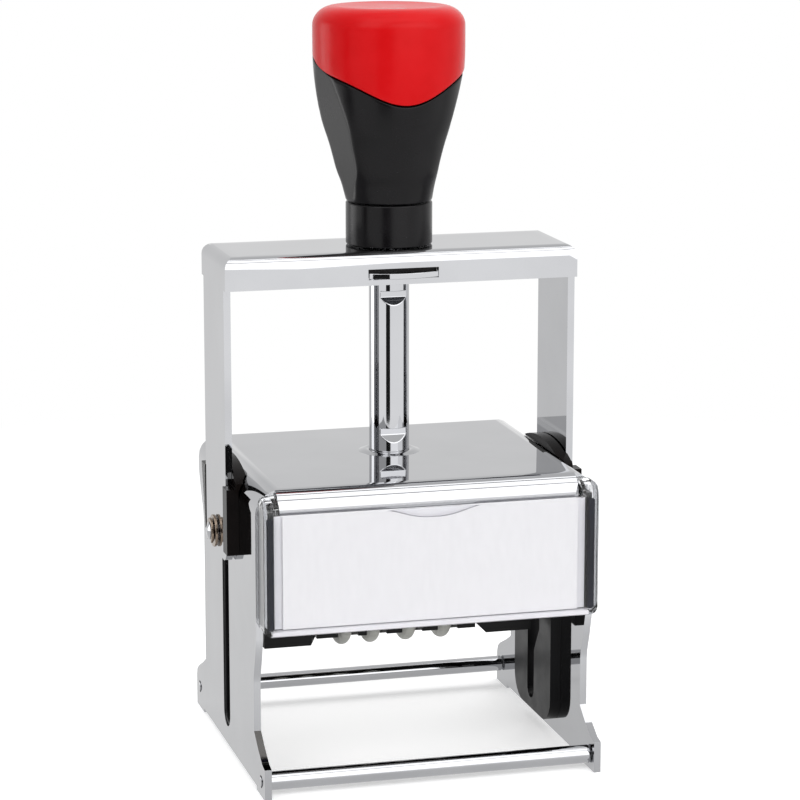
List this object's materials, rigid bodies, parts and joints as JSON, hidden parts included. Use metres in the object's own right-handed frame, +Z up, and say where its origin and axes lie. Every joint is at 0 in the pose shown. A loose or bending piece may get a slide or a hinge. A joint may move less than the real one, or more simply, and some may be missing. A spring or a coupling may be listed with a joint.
{
  "type": "date stamp",
  "caption": "Heavy self-inking date stamp: chrome frame and press yoke with a tapered handle, flip-over die unit with date bands, and an index window in front.",
  "frame": {"origin": "on the floor, in the middle of the base's bounding box", "axes": "+Z up along the press axis, -Y towards the front with the index window, +X to the right seen from the front"},
  "size_m": [0.0972, 0.0852, 0.192],
  "materials": {
    "chrome": "polished chrome plating on bent steel sheet",
    "steel": "plain zinc-plated steel",
    "gloss_black": "glossy moulded plastic",
    "black": "satin moulded plastic",
    "red": "satin-gloss moulded plastic",
    "off_white": "plain moulded plastic",
    "card": "plain white card, modelled as matte plastic",
    "clear": "clear polystyrene",
    "rubber": "smooth printing rubber",
    "felt": "inked felt"
  },
  "bodies": {
    "frame": {"frame_shell": "chrome", "front_rod": "chrome", "rear_rod": "chrome", "cam_guide_left": "black", "cam_guide_right": "black", "leg_guide_left": "gloss_black", "leg_guide_right": "gloss_black", "centre_post": "chrome", "return_spring": "steel", "window_cover": "clear", "label_card": "card", "label_backing": "card", "cover_clip_left": "black", "cover_clip_right": "black"},
    "pad_tray": {"ink_pad_tray": "steel", "ink_pad": "felt"},
    "yoke": {"yoke_frame": "chrome", "handle_collar": "gloss_black", "grip_body": "gloss_black", "grip_cap": "red", "spring_plunger": "steel", "pivot_pin_left": "steel", "pivot_pin_right": "steel", "pivot_washer_left": "steel", "pivot_washer_right": "steel", "retaining_ring_left": "steel", "retaining_ring_right": "steel"},
    "latch": {"latch_plate": "chrome"},
    "die": {"die_holder": "black", "text_plate": "off_white", "rubber_die": "rubber", "date_cage": "black", "wheel_shaft": "steel", "band_bridge": "black", "date_band_1": "rubber", "date_band_2": "rubber", "date_band_3": "rubber", "date_band_4": "rubber"},
    "wheel_1": {"date_wheel_1": "off_white"},
    "wheel_2": {"date_wheel_2": "off_white"},
    "wheel_3": {"date_wheel_3": "off_white"},
    "wheel_4": {"date_wheel_4": "off_white"}
  },
  "joints": [
    {"name": "yoke_press", "type": "slide", "parent": "frame", "child": "yoke", "axis": [0, 0, -1], "range_m": [0, 0.045], "stiffness_N_per_m": 300, "springref_m": -0.05, "deforming": ["return_spring"]},
    {"name": "die_flip", "type": "hinge", "parent": "yoke", "child": "die", "pos_m": [0, 0.0024, 0.0584], "axis": [-1, 0, 0], "range_deg": [0, 180]},
    {"name": "latch_slide", "type": "slide", "parent": "yoke", "child": "latch", "axis": [0, 1, 0], "range_m": [0, 0.0012], "stiffness_N_per_m": 150, "springref_m": -0.003},
    {"name": "pad_tray_slide", "type": "slide", "parent": "frame", "child": "pad_tray", "axis": [0, 1, 0], "range_m": [0, 0.07]},
    {"name": "wheel_1_turn", "type": "hinge", "parent": "die", "child": "wheel_1", "pos_m": [-0.013, 0.0024, 0.034], "axis": [1, 0, 0], "continuous": true},
    {"name": "wheel_2_turn", "type": "hinge", "parent": "die", "child": "wheel_2", "pos_m": [-0.0053, 0.0024, 0.034], "axis": [1, 0, 0], "continuous": true},
    {"name": "wheel_3_turn", "type": "hinge", "parent": "die", "child": "wheel_3", "pos_m": [0.0043, 0.0024, 0.034], "axis": [1, 0, 0], "continuous": true},
    {"name": "wheel_4_turn", "type": "hinge", "parent": "die", "child": "wheel_4", "pos_m": [0.0139, 0.0024, 0.034], "axis": [1, 0, 0], "continuous": true}
  ],
  "couplings": [
    {"joint": "die_flip", "follows": "yoke_press", "rad_per_m": 69.8}
  ]
}
